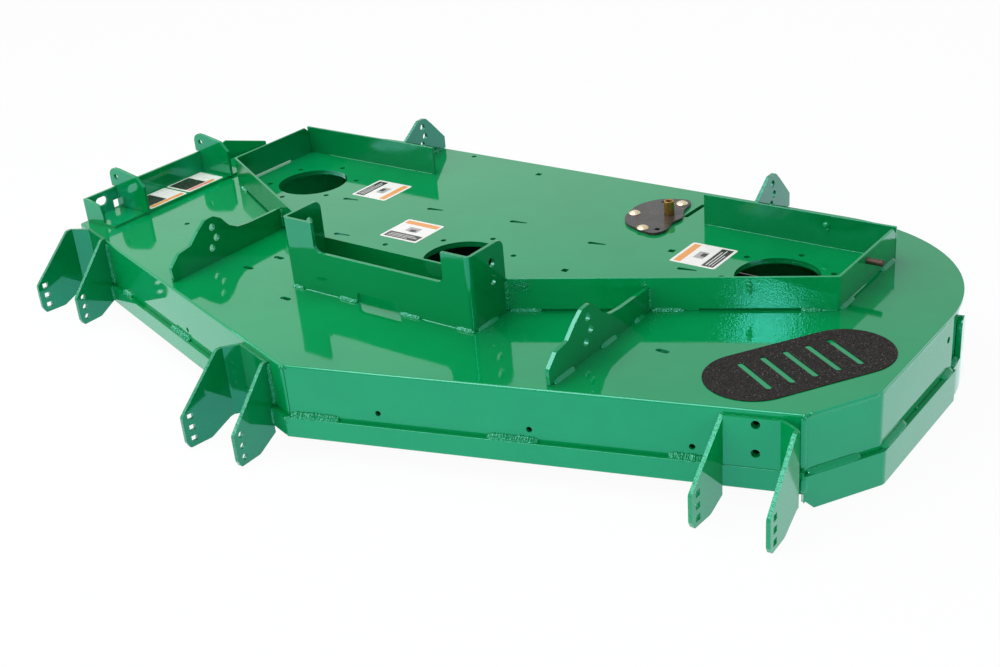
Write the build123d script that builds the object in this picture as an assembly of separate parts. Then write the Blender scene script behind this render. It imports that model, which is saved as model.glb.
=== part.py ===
from build123d import *
import math
import os

# Welded steel mower deck for three blades. Millimetres.
# Origin: centre spindle axis at the top face of the deck plate.
# +X runs along the deck away from the discharge end, +Y to the rear, +Z up.

# Spindle layout
side_spindle_x = 500.0
side_spindle_y = 164.0
spindle_bore_r = 67.5
spindle_bolt_inset = 19.5
spindle_bolt_hole_r = 5.0
spindle_bolt_count = 6
doubler_margin = 33.0
doubler_t = 5.0

# Deck shell
plate_t = 5.0
front_apex_y = -437.0
front_sweep_deg = 17.4
front_depth = 117.0
front_fold_r = 3.6
front_bend_r = 1.2
facet_width = 63.0
facet_back_y = -104.0
facet_bend_r = 16.0
left_trim = 20.0
rear_y = 431.0
end_radius = 285.0
side_depth = 137.0
skirt_t = 5.0
side_seam_back = 10.0
rear_skirt_inset = 4.0
rear_skirt_left_gap = 12.0
seam_gap = 1.5
fit_gap = 0.2

# Small holes in the shell
slot_length = 33.0
slot_r = 4.5
slot_tip_r = 1.8
square_hole_side = 11.0
small_hole_r = 5.0
skirt_hole_first_x = 141.0
skirt_hole_pitch = 220.5
skirt_hole_count = 3
skirt_hole_r = 4.5
skirt_hole_above_band = 18.5
left_skirt_hole_x = -334.0
side_hole_from_seam = 18.0
side_hole_z = -35.0
teardrop_places = ((-182.0, 153.0), (-5.0, 169.0), (174.0, 148.0), (-365.0, 125.0), (-261.0, -15.0),
                   (362.0, 122.0))
teardrop_turn = 9.0
short_slot_length = 22.0
short_slot_places = ((-291.0, -144.0), (-309.0, -200.0), (-160.0, -262.0), (471.0, -140.0))
square_hole_places = ((-111.0, 385.0), (187.0, 32.0), (303.0, 176.0))
small_hole_places = ((-292.0, 416.0), (-158.0, -16.0), (-569.0, -105.0))

# Wear bands around the skirt
band_t = 8.0
front_band_height = 33.0
side_band_height = 53.0
side_band_drop = 6.0
side_band_corner_cut = 14.0

# Belt fences on the plate
fence_side_gap = 135.5
fence_front_gap = 72.0
fence_rear_gap = 136.0
fence_middle_x = 196.0
fence_middle_y = -134.3
left_rear_fence_end_x = -300.0
right_rear_fence_end_x = 295.0
fence_height = 54.6
fence_t = 4.5
fence_bend_r = 7.0
fence_foot_gap = 3.6
fence_corner_cut = 10.0
fence_weld_gaps = ((52.0, 262.0), (290.0, 50.0))
fence_end_gap = (40.0, 60.0)
middle_fence_weld = 60.0

# Belt tower
tower_x = 3.75
tower_width = 381.5
tower_depth = 85.2
tower_height = 122.0
tower_low_z = 72.0
tower_window_x = 9.5
tower_window_width = 264.0
tower_t = 6.0
tower_bend_r = 3.0
tower_cut_r = 12.0
tower_top_r = 14.0
tower_notch_half_width = 44.0
tower_notch_height = 17.5
tower_notch_r = 6.0
tower_hole_r = 7.5
tower_hole_inset = 30.5
tower_hole_z = (65.5, 94.5)

# Lift plates
lift_x = 385.0
lift_t = 6.4
lift_hole_r = 6.5
lift_set_back = 14.0
lift_profile = ((0.0, 0.0), (-2.0, 24.0), (20.0, 44.0), (48.0, 48.0), (68.0, 66.0), (88.0, 80.0),
                (106.0, 81.0), (122.0, 72.0), (138.0, 53.0), (156.0, 43.0), (184.0, 40.0))
lift_profile_r = (2.0, 10.0, 14.0, 8.0, 12.0, 10.0, 10.0, 12.0, 12.0, 10.0, 20.0)
lift_rear_height = 38.0
lift_holes = ((100.0, 63.0), (106.0, 42.0), (93.0, 27.0))
rear_ear_overhang = 6.0
rear_ear_profile = ((0.0, 0.0), (0.0, 41.3), (40.0, 68.0), (56.0, 79.0), (78.0, 79.0), (96.0, 62.0))
rear_ear_profile_r = (1.0, 10.0, 12.0, 10.0, 12.0, 16.0)
rear_ear_tail_height = 24.0
rear_ear_holes = ((67.0, 63.0), (72.0, 43.0), (62.0, 28.0))
foot_corner_r = 1.0

# Gauge wheel brackets
bracket_t = 6.4
bracket_drop = 146.0
bracket_width = 106.5
bracket_profile = ((0.0, 54.0), (0.0, 11.0), (5.0, 0.0), (45.0, 0.0), (84.0, 19.0))
bracket_profile_r = (10.0, 5.0, 5.0, 14.0, 10.0)
bracket_root_height = 20.0
bracket_top_in = 81.0
bracket_top_r = 8.0
bracket_ear_length = 91.0
bracket_back_top_z = -9.0
bracket_hole_pitch = 19.0
bracket_hole_count = 3
bracket_hole_up = 13.0
bracket_hole_in = 14.5
bracket_square_side = 10.3
bracket_round_r = 5.2
bracket_bolt_r = 6.3
left_bracket_in = 12.5
left_bracket_reach = 89.0
left_bracket_back = 64.0
left_bracket_splay = (8.0, -2.0)
left_bracket_rise = 16.0
center_bracket_x = -37.5
center_bracket_reach = 91.0
center_bracket_back = 78.5
center_bracket_splay = (8.0, -2.0)
right_bracket_out = 11.5
right_bracket_reach = 83.0
right_bracket_back = 76.0
right_bracket_splay = (3.0, -3.0)
right_bracket_bolt_in = 58.0
right_bracket_bolt_z = (-18.0, -62.0)

# Discharge end
channel_edge_gap = 5.0
channel_width = 80.0
channel_set_back = 14.0
channel_length = 333.0
channel_height = 46.0
channel_t = 5.0
channel_end_width = 50.0
channel_end_slope = 38.0
channel_end_drop = 26.0
channel_end_nose = (4.0, 8.0)
channel_oval_in = 36.0
channel_oval_z = 29.0
channel_oval_length = 27.0
channel_oval_width = 17.0
channel_window_in = 69.0
channel_window_width = 14.0
channel_window_height = 16.0
hinge_front_in = 78.0
hinge_spacing = 217.0
hinge_ear_t = 6.4
hinge_ear_overhang = 7.0
hinge_eye_in = 11.0
hinge_eye_up = 20.0
hinge_eye_r = 17.5
hinge_hole_r = 5.3
hinge_ear_front_height = 51.0
hinge_ear_shoulder = (18.0, 69.0)
hinge_eye_blend = 7.0
discharge_flange_from_corner = 10.0
discharge_flange_front = 70.0
discharge_flange_rear = 28.0
discharge_flange_low_z = -40.0
discharge_flange_high_z = 33.5
discharge_flange_taper = 21.5
discharge_flange_corner = (11.0, 5.0)
lug_deg = 12.0
lug_width = 30.0
lug_height = 63.0

# Idler plate and its fasteners
idler_x = 223.0
idler_y = 306.0
idler_t = 5.0
idler_profile = ((-71.0, -6.0), (-65.0, 30.0), (-47.0, 54.0), (-20.0, 67.0), (3.0, 68.0), (11.0, 52.0),
                 (17.0, 20.0), (29.0, -6.0), (25.0, -32.0), (31.0, -66.0), (20.0, -87.0), (-11.0, -83.0),
                 (-43.0, -70.0), (-64.0, -42.0))
idler_bolt_places = ((-56.0, -24.0), (-8.0, -76.0), (-3.0, 50.0))
idler_square_places = ((17.0, -70.0), (-36.0, 45.0))
idler_slot_place = (28.0, 40.0)
idler_slot_length = 66.0
idler_slot_turn = 88.0
idler_bolt_r = 4.75
idler_head_r = 11.0
idler_head_h = 5.0
idler_nut_flats = 14.3
idler_nut_h = 8.0
idler_thread_out = 4.0
idler_square_side = 9.0
spacer_r = 9.2
spacer_bore_r = 5.2
spacer_height = 24.0

# Anchor pin, grip pad and labels
pin_from_rear = 112.5
pin_z = 42.5
pin_r = 5.0
pin_length = 27.0
pad_from_side = 127.0
pad_from_facet = 17.5
pad_run = 150.0
pad_r = 68.4
pad_deg = 57.3
pad_t = 1.2
pad_bar_count = 5
pad_bar_pitch = 36.0
pad_bar_length = 84.0
pad_bar_width = 9.0
label_t = 0.4
label_corner_r = 4.0
plate_label_side = 83.0
left_label_place = (160.0, 23.0)
center_label_place = (-154.0, 53.0)
right_label_place = (-140.0, 17.0)
channel_label_width = 68.0
channel_label_length = 92.0
channel_label_gap = 5.0

# Places worked out from the sizes above
front_slope = math.tan(math.radians(front_sweep_deg))
front_cos = math.cos(math.radians(front_sweep_deg))
end_y = rear_y - end_radius
right_side_x = side_spindle_x + end_radius
right_corner_x = right_side_x - facet_width
left_edge_x = left_trim - side_spindle_x - end_radius
side_seam_y = end_y + side_seam_back
front_band_top_z = front_band_height - front_depth
side_band_bottom_z = -side_depth - side_band_drop
side_band_top_z = side_band_bottom_z + side_band_height
spindle_bolt_circle_r = spindle_bore_r + spindle_bolt_inset
fence_x = side_spindle_x + fence_side_gap
fence_corner_y = side_spindle_y - fence_front_gap
fence_rear_y = side_spindle_y + fence_rear_gap
tower_half_width = tower_width / 2
tower_front_y = fence_middle_y - tower_depth
channel_back_x = left_edge_x + channel_edge_gap
channel_front_x = channel_back_x + channel_width
hinge_eye_x = channel_back_x + hinge_eye_in
hinge_eye_z = channel_height + hinge_eye_up
far_out = 1200.0


def front_y(x):
    return front_apex_y + abs(x) * front_slope


lift_front_y = front_y(lift_x) + lift_set_back
channel_front_y = front_y(left_edge_x) + channel_set_back
channel_rear_y = channel_front_y + channel_length
hinge_front_y = channel_front_y + hinge_front_in
hinge_rear_y = hinge_front_y + hinge_spacing
idler_bolts = [(idler_x + x, idler_y + y) for x, y in idler_bolt_places]
spindles = [(-side_spindle_x, side_spindle_y), (0.0, 0.0), (side_spindle_x, side_spindle_y)]


def face_of(points):
    return make_face(Polyline(*points, close=True))


def rounded_face(points, radii):
    return make_face(FilletPolyline(*points, radius=radii, close=True))


def prism(points, low, high):
    return Pos(0, 0, low) * extrude(face_of(points), amount=high - low, dir=(0, 0, 1))


def block(x0, x1, y0, y1, z0, z1):
    middle = Pos((x0 + x1) / 2, (y0 + y1) / 2, (z0 + z1) / 2)
    return middle * Box(x1 - x0, y1 - y0, z1 - z0)


def side_plate(outline, x, thickness):
    return extrude(Plane.YZ.offset(x - thickness / 2) * outline, amount=thickness, dir=(1, 0, 0))


def cross_plate(outline, y, thickness):
    return extrude(Plane.XZ.offset(thickness / 2 - y) * outline, amount=thickness, dir=(0, 1, 0))


def drill_x(x, y, z, radius, length):
    return Pos(x, y, z) * Rot(0, 90, 0) * Cylinder(radius, length)


def drill_front(x, z, radius):
    side = 1 if x > 0 else -1
    turn = Rot(0, 0, side * front_sweep_deg) * Rot(90, 0, 0)
    return Pos(x, front_y(x), z) * turn * Cylinder(radius, 8 * plate_t)


def behind_front(distance, low, high):
    # Everything behind a line parallel to the swept front edge, set back by a distance
    back = distance / front_cos
    return prism([
        (0, front_apex_y + back),
        (far_out, front_y(far_out) + back),
        (far_out, far_out),
        (-far_out, far_out),
        (-far_out, front_y(far_out) + back),
    ], low, high)


def shifted(points, distance):
    # Points moved sideways to the right of the path, mitred at the bends
    moved = []
    count = len(points)
    for i in range(count):
        before = points[max(i - 1, 0)]
        here = points[i]
        after = points[min(i + 1, count - 1)]
        normals = []
        for a, b in ((before, here), (here, after)):
            run = math.hypot(b[0] - a[0], b[1] - a[1])
            if run > 0:
                normals.append(((b[1] - a[1]) / run, -(b[0] - a[0]) / run))
        nx = sum(n[0] for n in normals) / len(normals)
        ny = sum(n[1] for n in normals) / len(normals)
        scale = distance / (nx * nx + ny * ny)
        moved.append((here[0] + nx * scale, here[1] + ny * scale))
    return moved


def bent_strip(near, far, bend_r, low, high):
    # Sheet standing on edge between two bent paths
    sides = [FilletPolyline(*near, radius=bend_r), FilletPolyline(*far, radius=bend_r)]
    ends = [Line(near[0], far[0]), Line(near[-1], far[-1])]
    outline = make_face(Curve() + sides + ends)
    return Pos(0, 0, low) * extrude(outline, amount=high - low, dir=(0, 0, 1))


def right_path():
    corner = (right_corner_x, front_y(right_corner_x))
    return [corner, (right_side_x, facet_back_y), (right_side_x, side_seam_y)]


def plate_plan():
    plan = face_of([
        (0, front_apex_y),
        (right_corner_x, front_y(right_corner_x)),
        (right_side_x, facet_back_y),
        (right_side_x, end_y),
        (side_spindle_x, end_y),
        (side_spindle_x, rear_y),
        (-side_spindle_x, rear_y),
        (-side_spindle_x, end_y),
        (left_edge_x, end_y),
        (left_edge_x, front_y(left_edge_x)),
    ])
    corner = plan.vertices().sort_by_distance(Vector(right_side_x, facet_back_y, 0))[0]
    plan = fillet(corner, facet_bend_r)
    plan += Pos(side_spindle_x, end_y) * Circle(end_radius)
    left_end = Pos(-side_spindle_x, end_y) * Circle(end_radius)
    keep = Pos(left_edge_x / 2, end_y + end_radius / 2) * Rectangle(-left_edge_x, end_radius)
    return plan + (left_end & keep)


def spindle_openings(x, y):
    bolts = PolarLocations(spindle_bolt_circle_r, spindle_bolt_count, start_angle=30)
    return Pos(x, y) * (Circle(spindle_bore_r) + bolts * Circle(spindle_bolt_hole_r))


def teardrop(length):
    # Round at one end and drawn out to a narrow tip at the other
    tail = length - slot_r
    drop = Circle(slot_r) + face_of([(0, slot_r), (tail, slot_tip_r), (tail, -slot_tip_r), (0, -slot_r)])
    return Pos(slot_r - length / 2, 0) * drop


def plate_openings():
    holes = Sketch()
    for x, y in spindles:
        holes += spindle_openings(x, y)
    for x, y in teardrop_places:
        holes += Pos(x, y) * Rot(0, 0, teardrop_turn) * teardrop(slot_length)
    for x, y in short_slot_places:
        holes += Pos(x, y) * SlotOverall(short_slot_length, 2 * slot_r)
    for x, y in square_hole_places:
        holes += Pos(x, y) * Rectangle(square_hole_side, square_hole_side)
    for x, y in small_hole_places:
        holes += Pos(x, y) * Circle(small_hole_r)
    idler_slot = Rot(0, 0, idler_slot_turn) * SlotOverall(idler_slot_length, 2 * slot_r)
    holes += Pos(idler_x + idler_slot_place[0], idler_y + idler_slot_place[1]) * idler_slot
    for x, y in idler_bolts:
        holes += Pos(x, y) * Circle(idler_bolt_r + fit_gap)
    return holes


def deck_plate():
    shell = extrude(plate_plan() - plate_openings(), amount=front_depth, dir=(0, 0, -1))
    folds = [e for e in shell.edges().filter_by(GeomType.LINE)
             if abs(e.center().Z) < 0.01 and abs(e.center().Y - front_y(e.center().X)) < 0.5]
    shell = fillet(folds, front_fold_r)
    hollow = behind_front(plate_t, -2 * front_depth, -plate_t)
    inner_folds = [e for e in hollow.edges().filter_by(GeomType.LINE)
                   if abs(e.center().Z + plate_t) < 0.01 and e.center().Y < front_y(far_out)]
    shell -= fillet(inner_folds, front_bend_r)
    hole_z = front_band_top_z + skirt_hole_above_band
    for i in range(skirt_hole_count):
        shell -= drill_front(skirt_hole_first_x + i * skirt_hole_pitch, hole_z, skirt_hole_r)
    shell -= drill_front(left_skirt_hole_x, hole_z, skirt_hole_r)
    for z in right_bracket_bolt_z:
        shell -= drill_front(right_bracket_bolt_x(), z, bracket_bolt_r)
    return shell


def right_skirt():
    path = right_path()
    skirt = bent_strip(path, shifted(path, -skirt_t), facet_bend_r, -side_depth, -plate_t)
    room = behind_front(plate_t + fit_gap, -2 * side_depth, -plate_t - front_bend_r)
    room += behind_front(plate_t + front_bend_r, -2 * side_depth, 0)
    skirt &= room
    return skirt - drill_x(right_side_x, side_seam_y - side_hole_from_seam, side_hole_z,
                           small_hole_r, 8 * skirt_t)


def rounded_end(radius):
    # Round-ended plan of the deck's rear half
    plan = Pos(side_spindle_x, end_y) * Circle(radius)
    plan += Pos(-side_spindle_x, end_y) * Circle(radius)
    return plan + Pos(0, end_y + radius / 2) * Rectangle(2 * side_spindle_x, radius)


def rear_strip(outer_r, inner_r, low, high):
    start_y = side_seam_y + seam_gap
    left_x = left_edge_x + rear_skirt_left_gap
    region = face_of([(left_x, start_y), (far_out, start_y), (far_out, far_out), (left_x, far_out)])
    ring = (rounded_end(outer_r) - rounded_end(inner_r)) & region
    run = ring.faces().sort_by(Axis.Y)[-1]
    return Pos(0, 0, low) * extrude(run, amount=high - low, dir=(0, 0, 1))


def rear_skirt():
    outer = end_radius - rear_skirt_inset
    return rear_strip(outer, outer - skirt_t, -side_depth, -plate_t)


def rear_band():
    inner = end_radius - rear_skirt_inset
    return rear_strip(inner + band_t, inner, side_band_bottom_z, side_band_top_z)


def band_paths():
    inner = [(left_edge_x, front_y(left_edge_x)), (0, front_apex_y)] + right_path()
    return inner, shifted(inner, band_t)


def front_band(first):
    inner, outer = band_paths()
    last = first + 1
    return prism([inner[first], inner[last], outer[last], outer[first]], -front_depth, front_band_top_z)


def right_band():
    inner, outer = band_paths()
    band = bent_strip(inner[2:], outer[2:], facet_bend_r, side_band_bottom_z, side_band_top_z)
    turn = math.degrees(math.atan2(inner[3][1] - inner[2][1], inner[3][0] - inner[2][0]))
    cut = math.sqrt(2) * side_band_corner_cut
    corner = Pos(inner[2][0], inner[2][1], side_band_bottom_z) * Rot(0, 0, turn) * Rot(0, 45, 0)
    return band - corner * Box(cut, 8 * band_t, cut)


def foot_gap(start, end, from_start, from_end):
    # Slot under a fence between two welds, given by its distances from the run's two ends
    run = math.hypot(end[0] - start[0], end[1] - start[1])
    turn = math.degrees(math.atan2(end[1] - start[1], end[0] - start[0]))
    middle = (from_start + run - from_end) / 2 / run
    x = start[0] + (end[0] - start[0]) * middle
    y = start[1] + (end[1] - start[1]) * middle
    slot = Box(run - from_start - from_end, 6 * fence_t, 2 * fence_foot_gap)
    return Pos(x, y, 0) * Rot(0, 0, turn) * slot


def side_fence(side):
    # Fence around a side spindle: one bend, the diagonal run starts beside the tower
    path = [(side * fence_middle_x, fence_middle_y), (side * fence_x, fence_corner_y),
            (side * fence_x, fence_rear_y - fit_gap)]
    fence = bent_strip(path, shifted(path, -side * fence_t), fence_bend_r, 0, fence_height)
    for from_start, from_end in fence_weld_gaps:
        fence -= foot_gap(path[0], path[1], from_start, from_end)
    fence -= foot_gap(path[1], path[2], *fence_end_gap)
    cut = math.sqrt(2) * fence_corner_cut
    return fence - Pos(side * fence_x, path[2][1], fence_height) * Rot(45, 0, 0) * Box(4 * fence_t, cut, cut)


def middle_fence():
    half = fence_middle_x - fit_gap
    front = fence_middle_y
    fence = block(-half, half, front, front + fence_t, 0, fence_height)
    for side in (-1, 1):
        path = [(side * fence_middle_x, front), (side * fence_x, fence_corner_y)]
        back = shifted(path, -side * (fence_t + fit_gap))
        ahead = shifted(path, side * 4 * fence_t)
        fence -= prism([ahead[0], ahead[1], back[1], back[0]], -1, fence_height + 1)
    return fence - foot_gap((-half, front), (half, front), middle_fence_weld, middle_fence_weld)


def rear_fence(x0, x1):
    return block(x0, x1, fence_rear_y, fence_rear_y + fence_t, 0, fence_height)


def belt_tower():
    rear = fence_middle_y - fit_gap
    tower = block(-tower_half_width, tower_half_width, tower_front_y, rear, 0, tower_height)
    corners = [e for e in tower.edges().filter_by(Axis.Z) if e.center().Y < tower_front_y + 1]
    tower = fillet(corners, tower_bend_r + tower_t)
    inner_half = tower_half_width - tower_t
    core = block(-inner_half, inner_half, tower_front_y + tower_t, rear + tower_t, -1, tower_height + 1)
    corners = [e for e in core.edges().filter_by(Axis.Z) if e.center().Y < rear]
    tower -= fillet(corners, tower_bend_r)
    window = Pos(tower_window_x - tower_x, tower_height) * RectangleRounded(
        tower_window_width, 2 * (tower_height - tower_low_z), tower_cut_r)
    notch = RectangleRounded(2 * tower_notch_half_width, 2 * tower_notch_height, tower_notch_r)
    for cut in (window, notch):
        tower -= cross_plate(cut, tower_front_y, 4 * tower_t)
    top_corners = [e for e in tower.edges().filter_by(Axis.X)
                   if e.center().Z > tower_height - 1 and e.center().Y > rear - 1]
    tower = fillet(top_corners, tower_top_r)
    for z in tower_hole_z:
        tower -= drill_x(0, fence_middle_y - tower_hole_inset, z, tower_hole_r, 3 * tower_half_width)
    return Pos(tower_x, 0, 0) * tower


def lift_plate(side):
    front = lift_front_y
    rear = fence_corner_y
    edge = [(front + y, z) for y, z in lift_profile] + [(rear, lift_rear_height), (rear, 0)]
    radii = list(lift_profile_r) + [foot_corner_r, foot_corner_r]
    plate = side_plate(rounded_face(edge, radii), side * lift_x, lift_t)
    for back, z in lift_holes:
        plate -= drill_x(side * lift_x, front + back, z, lift_hole_r, 4 * lift_t)
    path = [(side * fence_middle_x, fence_middle_y), (side * fence_x, fence_corner_y)]
    face = shifted(path, side * fit_gap)
    return plate - prism([face[0], face[1], (side * fence_x, rear_y), (side * fence_middle_x, rear_y)],
                         -1, 2 * fence_height)


def rear_lift_ear(side):
    front = fence_rear_y + fence_t + fit_gap
    back = rear_y + rear_ear_overhang
    edge = [(front + y, z) for y, z in rear_ear_profile] + [(back, rear_ear_tail_height), (back, 0)]
    radii = list(rear_ear_profile_r) + [foot_corner_r, foot_corner_r]
    ear = side_plate(rounded_face(edge, radii), side * lift_x, lift_t)
    for along, z in rear_ear_holes:
        ear -= drill_x(side * lift_x, front + along, z, lift_hole_r, 4 * lift_t)
    return ear


def bracket_ear(tip_x, front, splay, low, length, square):
    # Side of a gauge wheel bracket, its right face turned about its tip
    height = bracket_drop + bracket_back_top_z
    edge = list(bracket_profile)
    edge += [(length, bracket_root_height), (length, height), (bracket_top_in, height)]
    radii = list(bracket_profile_r) + [foot_corner_r, foot_corner_r, bracket_top_r]
    ear = side_plate(rounded_face(edge, radii), -bracket_t / 2, bracket_t)
    for i in range(bracket_hole_count):
        ear -= axle_hole(bracket_hole_in, bracket_hole_up + i * bracket_hole_pitch, square)
    return Pos(tip_x, front, low) * Rot(0, 0, -splay) * ear


def axle_hole(y, z, square):
    if square:
        return Pos(0, y, z) * Box(4 * bracket_t, bracket_square_side, bracket_square_side)
    return drill_x(0, y, z, bracket_round_r, 4 * bracket_t)


def ear_end(tip_x, front, splay, side):
    # Rear end of the bent ear in plan, on its right face (side 0) or its left one (side 1)
    lean = math.radians(splay)
    x = -side * bracket_t
    y = bracket_ear_length
    return (tip_x + x * math.cos(lean) + y * math.sin(lean), front - x * math.sin(lean) + y * math.cos(lean))


def gauge_bracket(tips, reach, splays, back_width, bent, rise, square_holes):
    # Folded plate on the skirt with one ear bent from it, and a second ear welded to its other end
    low = rise - bracket_drop
    top = rise + bracket_back_top_z
    straight = 1 - bent
    front = front_y(tips[straight]) - reach
    lengths = [bracket_ear_length, bracket_ear_length]
    lengths[straight] += front_depth
    body = bracket_ear(tips[0], front, splays[0], low, lengths[0], square_holes[0])
    body += bracket_ear(tips[1], front, splays[1], low, lengths[1], square_holes[1])
    end_x = tips[straight] + reach * math.tan(math.radians(splays[straight])) - bracket_t / 2
    fold_x = end_x + (back_width if bent else -back_width)
    end = (end_x, front_y(end_x))
    fold = (fold_x, front_y(fold_x))
    outer = ear_end(tips[bent], front, splays[bent], 1 - bent)
    inner = ear_end(tips[bent], front, splays[bent], bent)
    path = [end, fold, outer] if bent else [outer, fold, end]
    near = shifted(path, bracket_t)
    near_end = near[0] if bent else near[2]
    body += prism([outer, fold, near[1], inner], low + bracket_root_height, top)
    body += prism([fold, end, near_end, near[1]], front_band_top_z + fit_gap, top)
    body -= behind_front(-fit_gap, -2 * bracket_drop, bracket_drop)
    return body - behind_front(-band_t - fit_gap, -2 * bracket_drop, front_band_top_z + fit_gap)


def left_gauge_bracket():
    left = left_edge_x + left_bracket_in
    tips = (left, left + bracket_width + bracket_t)
    return gauge_bracket(tips, left_bracket_reach, left_bracket_splay, left_bracket_back, 0, left_bracket_rise,
                         (True, False))


def center_gauge_bracket():
    tips = (center_bracket_x - bracket_t - bracket_width, center_bracket_x)
    return gauge_bracket(tips, center_bracket_reach, center_bracket_splay, center_bracket_back, 0, 0,
                         (True, False))


def right_bracket_bolt_x():
    return right_corner_x - right_bracket_bolt_in


def right_gauge_bracket():
    right = right_corner_x + right_bracket_out
    tips = (right - bracket_t - bracket_width, right)
    bracket = gauge_bracket(tips, right_bracket_reach, right_bracket_splay, right_bracket_back, 1, 0,
                            (True, True))
    for z in right_bracket_bolt_z:
        bracket -= drill_front(right_bracket_bolt_x(), z, bracket_bolt_r)
    return bracket


def discharge_channel():
    back = channel_back_x
    front = channel_front_y
    floor = block(back, channel_front_x, front, channel_rear_y, 0, channel_t)
    wall = block(back, back + channel_t, front, channel_rear_y, 0, channel_height)
    end_x = back + channel_end_width
    end = block(back, end_x, front, front + channel_t, 0, channel_height)
    end -= cross_plate(face_of([
        (end_x - channel_end_slope, channel_height + fit_gap),
        (end_x - channel_end_nose[0], channel_height - channel_end_nose[1]),
        (end_x + fit_gap, channel_height - channel_end_drop),
        (end_x + fit_gap, channel_height + fit_gap),
    ]), front, 4 * channel_t)
    channel = floor + wall + end
    fold = [e for e in channel.edges().filter_by(Axis.Y)
            if abs(e.center().X - back) < 0.01 and abs(e.center().Z) < 0.01]
    channel = fillet(fold, channel_t - 1)
    oval = Pos(front + channel_oval_in, channel_oval_z) * SlotOverall(channel_oval_length, channel_oval_width)
    window = Pos(front + channel_window_in, channel_t + channel_window_height / 2 + 1) * Rectangle(
        channel_window_width, channel_window_height)
    for cut in (oval, window):
        channel -= side_plate(cut, back, 6 * channel_t)
    return channel


def hinge_ear(y):
    base = channel_t
    front = channel_front_x + hinge_ear_overhang
    inner = channel_back_x + channel_t + fit_gap
    step = channel_height + fit_gap
    eye_left = hinge_eye_x - hinge_eye_r
    outline = Pos(hinge_eye_x, hinge_eye_z) * Circle(hinge_eye_r)
    outline += face_of([
        (inner, base), (front, base), (front, base + hinge_ear_front_height),
        (front - hinge_ear_shoulder[0], base + hinge_ear_shoulder[1]),
        (hinge_eye_x + hinge_eye_blend, hinge_eye_z + hinge_eye_r - fit_gap), (hinge_eye_x, hinge_eye_z),
        (eye_left, hinge_eye_z), (eye_left, step), (inner, step)])
    outline -= face_of([(inner, base), (inner, step), (eye_left - 1, step), (eye_left - 1, base)])
    outline -= Pos(hinge_eye_x, hinge_eye_z) * Circle(hinge_hole_r)
    return cross_plate(outline, y, hinge_ear_t)


def discharge_flange():
    front = -discharge_flange_front
    rear = discharge_flange_rear
    top = discharge_flange_high_z
    along, down = discharge_flange_corner
    edge = [(rear, discharge_flange_low_z), (front, discharge_flange_low_z), (front, top - down),
            (front + along, top), (rear, top - discharge_flange_taper)]
    flange = extrude(Plane.XZ * face_of(edge), amount=plate_t, dir=(0, 1, 0))
    corner_deg = math.degrees(math.acos((left_edge_x + side_spindle_x) / end_radius))
    back_deg = math.degrees(discharge_flange_from_corner / end_radius)
    turn = Rot(0, 0, corner_deg - back_deg - 90)
    return Pos(-side_spindle_x, end_y) * turn * Pos(0, end_radius + fit_gap, 0) * flange


def rear_lug():
    outline = Pos(0, lug_height / 2) * Rectangle(lug_width, lug_height)
    outline = fillet(outline.vertices().group_by(Axis.Y)[-1], lug_width / 2 - 1)
    lug = extrude(Plane.XZ * outline, amount=band_t, dir=(0, 1, 0))
    reach = end_radius - rear_skirt_inset + fit_gap
    turn = Rot(0, 0, lug_deg - 90)
    return Pos(side_spindle_x, end_y, side_band_top_z) * turn * Pos(0, reach, 0) * lug


def spindle_doubler(x, y):
    ring = Pos(x, y) * Circle(spindle_bolt_circle_r + doubler_margin) - spindle_openings(x, y)
    return Pos(0, 0, -plate_t - doubler_t) * extrude(ring, amount=doubler_t, dir=(0, 0, 1))


def idler_plate():
    outline = make_face(Spline(*idler_profile, periodic=True)) - Circle(spacer_bore_r)
    for x, y in idler_bolt_places:
        outline -= Pos(x, y) * Circle(idler_bolt_r + fit_gap)
    for x, y in idler_square_places:
        outline -= Pos(x, y) * Rectangle(idler_square_side, idler_square_side)
    return Pos(idler_x, idler_y, 0) * extrude(outline, amount=idler_t, dir=(0, 0, 1))


def idler_bolt(x, y):
    dome_r = (idler_head_r ** 2 + idler_head_h ** 2) / (2 * idler_head_h)
    head = Pos(x, y, idler_t + idler_head_h - dome_r) * Sphere(dome_r)
    head &= Pos(x, y, idler_t + idler_head_h / 2) * Cylinder(idler_head_r, idler_head_h)
    top = idler_t + idler_head_h / 2
    bottom = -plate_t - idler_nut_h - idler_thread_out
    return head + Pos(x, y, (top + bottom) / 2) * Cylinder(idler_bolt_r, top - bottom)


def idler_nut(x, y):
    ring = RegularPolygon(idler_nut_flats / 2, 6, major_radius=False) - Circle(idler_bolt_r + fit_gap / 2)
    return Pos(x, y, -plate_t - idler_nut_h) * extrude(ring, amount=idler_nut_h, dir=(0, 0, 1))


def idler_spacer():
    ring = Circle(spacer_r) - Circle(spacer_bore_r)
    return Pos(idler_x, idler_y, idler_t) * extrude(ring, amount=spacer_height, dir=(0, 0, 1))


def anchor_pin():
    middle = fence_x + fit_gap + pin_length / 2
    pin = drill_x(middle, fence_rear_y - pin_from_rear, pin_z, pin_r, pin_length)
    rims = pin.edges().filter_by(GeomType.CIRCLE).sort_by(Axis.X)
    return chamfer(rims[-1], pin_r / 5)


def grip_pad():
    outline = SlotCenterToCenter(pad_run, 2 * pad_r)
    for i in range(pad_bar_count):
        x = (i - (pad_bar_count - 1) / 2) * pad_bar_pitch
        outline -= Pos(x, 0) * Rot(0, 0, 90) * SlotOverall(pad_bar_length, pad_bar_width)
    pad = extrude(outline, amount=pad_t, dir=(0, 0, 1))
    return Pos(right_side_x - pad_from_side, facet_back_y + pad_from_facet, 0) * Rot(0, 0, pad_deg) * pad


def label(x, y, low, width, length):
    sheet = extrude(RectangleRounded(width, length, label_corner_r), amount=label_t, dir=(0, 0, 1))
    return Pos(x, y, low) * sheet


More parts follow.
